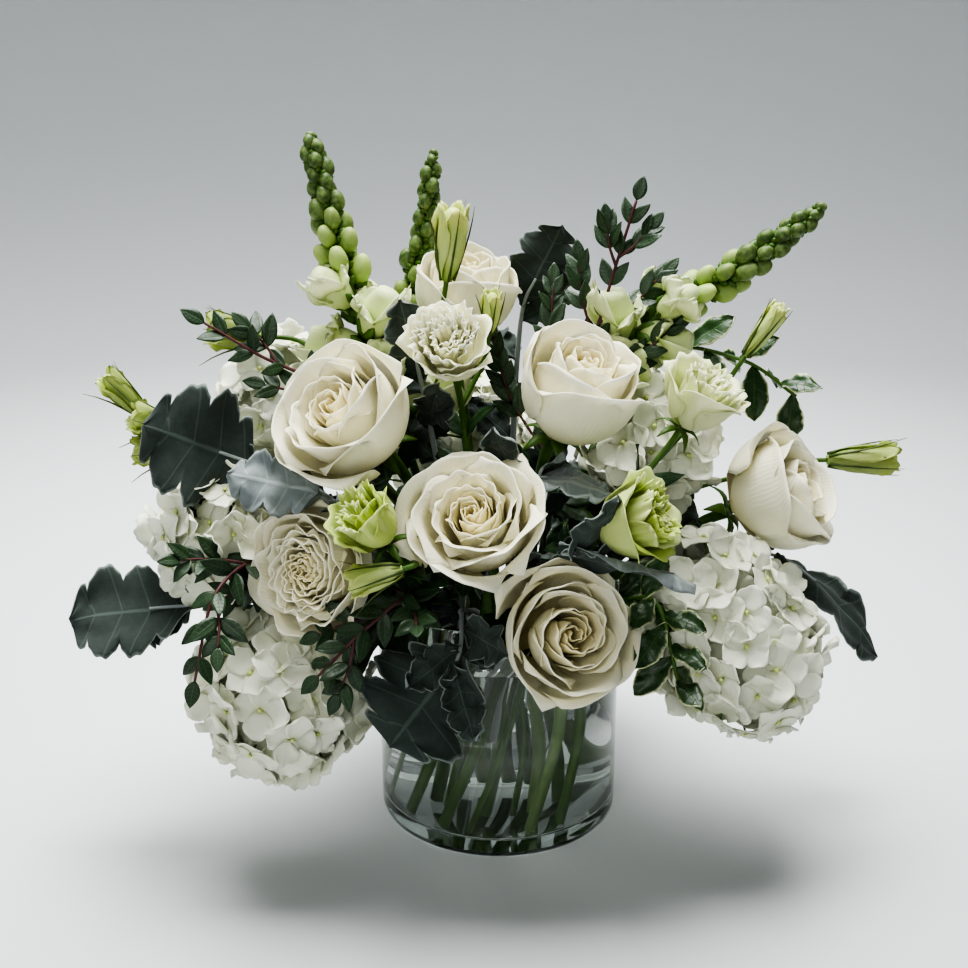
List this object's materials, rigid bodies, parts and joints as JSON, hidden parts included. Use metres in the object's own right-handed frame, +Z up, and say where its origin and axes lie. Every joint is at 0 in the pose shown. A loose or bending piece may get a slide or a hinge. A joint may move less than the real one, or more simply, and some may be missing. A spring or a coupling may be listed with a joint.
{
  "type": "floral table centerpiece",
  "caption": "Clear glass cylinder vase of water holding an arrangement of cream roses, white hydrangeas, snapdragons, lisianthus and mixed foliage.",
  "frame": {"origin": "middle of the vase's flat underside, on the table", "axes": "+Z up along the vase's axis, -Y towards the side the arrangement is seen from, +X to the right of that side"},
  "size_m": [0.5039, 0.3076, 0.4258],
  "materials": {
    "glass": "clear, polished",
    "water": "clear water",
    "cream_petal": "matt, soft petal",
    "white_petal": "matt, soft petal",
    "lime_petal": "satin petal",
    "stem_green": "satin stem",
    "bud_green": "satin bud and stem",
    "snapdragon_green": "satin bud and floret",
    "felt_leaf": "felted leaf",
    "dark_leaf": "waxy leaf",
    "variegated_leaf": "glossy leaf with a cream edge"
  },
  "bodies": {
    "root": {"dusty_miller_back": "felt_leaf", "dusty_miller_back_top": "felt_leaf", "dusty_miller_curled": "felt_leaf", "dusty_miller_far_left": "felt_leaf", "dusty_miller_far_right": "felt_leaf", "dusty_miller_front": "felt_leaf", "dusty_miller_grey_left": "felt_leaf", "dusty_miller_inner_left": "felt_leaf", "dusty_miller_middle": "felt_leaf", "dusty_miller_upper_left": "felt_leaf", "eucalyptus_front": "dark_leaf", "eucalyptus_low_left": "dark_leaf", "eucalyptus_upper_left": "dark_leaf", "eucalyptus_upper_right": "dark_leaf", "hydrangea_back": "white_petal", "hydrangea_back_stem": "stem_green", "hydrangea_left": "white_petal", "hydrangea_left_stem": "stem_green", "hydrangea_low_left": "white_petal", "hydrangea_low_left_stem": "stem_green", "hydrangea_low_right": "white_petal", "hydrangea_low_right_stem": "stem_green", "hydrangea_upper_left": "white_petal", "hydrangea_upper_left_stem": "stem_green", "hydrangea_upper_right": "white_petal", "hydrangea_upper_right_stem": "stem_green", "lisianthus_centre": "lime_petal", "lisianthus_centre_stem": "bud_green", "lisianthus_far_left": "bud_green", "lisianthus_far_right": "bud_green", "lisianthus_left": "lime_petal", "lisianthus_left_stem": "bud_green", "lisianthus_right": "lime_petal", "lisianthus_right_stem": "bud_green", "lisianthus_upper_left": "bud_green", "lisianthus_upper_right": "lime_petal", "lisianthus_upper_right_stem": "bud_green", "pittosporum_low": "variegated_leaf", "pittosporum_right": "variegated_leaf", "rose_back": "cream_petal", "rose_back_stem": "stem_green", "rose_back_top": "cream_petal", "rose_back_top_stem": "stem_green", "rose_centre": "cream_petal", "rose_centre_stem": "stem_green", "rose_left": "cream_petal", "rose_left_stem": "stem_green", "rose_low_front": "cream_petal", "rose_low_front_stem": "stem_green", "rose_right": "cream_petal", "rose_right_stem": "stem_green", "rose_upper_left": "cream_petal", "rose_upper_left_stem": "stem_green", "rose_upper_right": "cream_petal", "rose_upper_right_stem": "stem_green", "snapdragon_left": "snapdragon_green", "snapdragon_middle": "snapdragon_green", "snapdragon_right": "snapdragon_green", "vase": "glass", "water": "water"}
  },
  "joints": []
}
